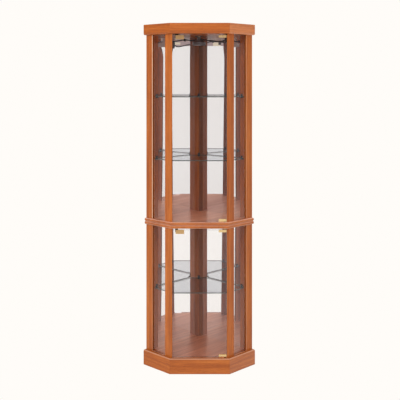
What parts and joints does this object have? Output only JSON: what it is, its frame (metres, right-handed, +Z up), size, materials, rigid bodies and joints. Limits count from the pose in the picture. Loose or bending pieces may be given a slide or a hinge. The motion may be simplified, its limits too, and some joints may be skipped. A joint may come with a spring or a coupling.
{
  "type": "corner display cabinet",
  "caption": "Corner display cabinet with angled glass sides, mirrored backs, glass shelves, glass doors on pivot hinges above and below, and a lamp under the top.",
  "frame": {"origin": "middle of the overall footprint, at floor level", "axes": "+Z up, the doors face -Y, +X to the right of a person who faces the doors"},
  "size_m": [0.56, 0.414, 1.707],
  "materials": {
    "stained_wood": "satin lacquer",
    "stained_board": "satin lacquer",
    "raw_wood": "unfinished",
    "back_board": "matt",
    "clear_glass": "polished",
    "silvered_mirror": "polished",
    "brass": "polished",
    "black_plastic": "matt",
    "black_gloss_plastic": "glossy",
    "black_paint": "satin",
    "black_rubber": "matt",
    "frosted_lens": "frosted"
  },
  "bodies": {
    "cabinet": {"plinth_front": "stained_wood", "plinth_left": "stained_wood", "plinth_right": "stained_wood", "plinth_back_left": "stained_wood", "plinth_back_right": "stained_wood", "base_floor": "stained_board", "base_corner_blocks": "raw_wood", "lower_front_post_left": "stained_wood", "lower_outer_post_left": "stained_wood", "lower_side_glass_left": "clear_glass", "lower_mirror_left": "silvered_mirror", "lower_back_panel_left": "back_board", "lower_front_post_right": "stained_wood", "lower_outer_post_right": "stained_wood", "lower_side_glass_right": "clear_glass", "lower_mirror_right": "silvered_mirror", "lower_back_panel_right": "back_board", "lower_rear_post": "stained_wood", "lower_shelf": "clear_glass", "lower_latch_body": "black_plastic", "upper_front_post_left": "stained_wood", "upper_outer_post_left": "stained_wood", "upper_side_glass_left": "clear_glass", "upper_mirror_left": "silvered_mirror", "upper_back_panel_left": "back_board", "upper_front_post_right": "stained_wood", "upper_outer_post_right": "stained_wood", "upper_side_glass_right": "clear_glass", "upper_mirror_right": "silvered_mirror", "upper_back_panel_right": "back_board", "upper_rear_post": "stained_wood", "upper_shelf_low": "clear_glass", "upper_shelf_high": "clear_glass", "upper_latch_body": "black_plastic", "lower_top_board": "stained_board", "upper_floor_board": "stained_board", "ceiling_board": "stained_board", "top_cover": "raw_wood", "fascia_front": "stained_wood", "fascia_left": "stained_wood", "fascia_right": "stained_wood", "fascia_back_left": "stained_wood", "fascia_back_right": "stained_wood", "lamp_housing": "black_paint", "lamp_lens": "frosted_lens", "lamp_lead": "black_rubber", "supply_lead": "black_rubber", "lamp_switch": "black_plastic", "shelf_pins": "black_plastic", "hinge_bushes": "black_plastic", "lead_grommet": "black_rubber"},
    "upper_door": {"upper_door_glass": "clear_glass", "upper_door_hinges": "brass", "upper_strike_plate": "brass"},
    "lower_door": {"lower_door_glass": "clear_glass", "lower_door_hinges": "brass", "lower_strike_plate": "brass"},
    "upper_latch": {"upper_latch_plunger": "black_plastic"},
    "lower_latch": {"lower_latch_plunger": "black_plastic"},
    "rocker": {"switch_rocker": "black_gloss_plastic"}
  },
  "joints": [
    {"name": "upper_door_hinge", "type": "hinge", "parent": "cabinet", "child": "upper_door", "pos_m": [0.1245, -0.1835, 1.1955], "axis": [0, 0, 1], "range_deg": [0, 110]},
    {"name": "lower_door_hinge", "type": "hinge", "parent": "cabinet", "child": "lower_door", "pos_m": [0.1245, -0.1835, 0.389], "axis": [0, 0, 1], "range_deg": [0, 110]},
    {"name": "upper_latch_slide", "type": "slide", "parent": "cabinet", "child": "upper_latch", "axis": [0, 1, 0], "range_m": [0, 0.003], "stiffness_N_per_m": 300, "springref_m": -0.004},
    {"name": "lower_latch_slide", "type": "slide", "parent": "cabinet", "child": "lower_latch", "axis": [0, 1, 0], "range_m": [0, 0.003], "stiffness_N_per_m": 300, "springref_m": -0.004},
    {"name": "rocker_pivot", "type": "hinge", "parent": "cabinet", "child": "rocker", "pos_m": [0.1274, -0.1664, 1.634], "axis": [0, 1, 0], "range_deg": [-14, 0]}
  ]
}
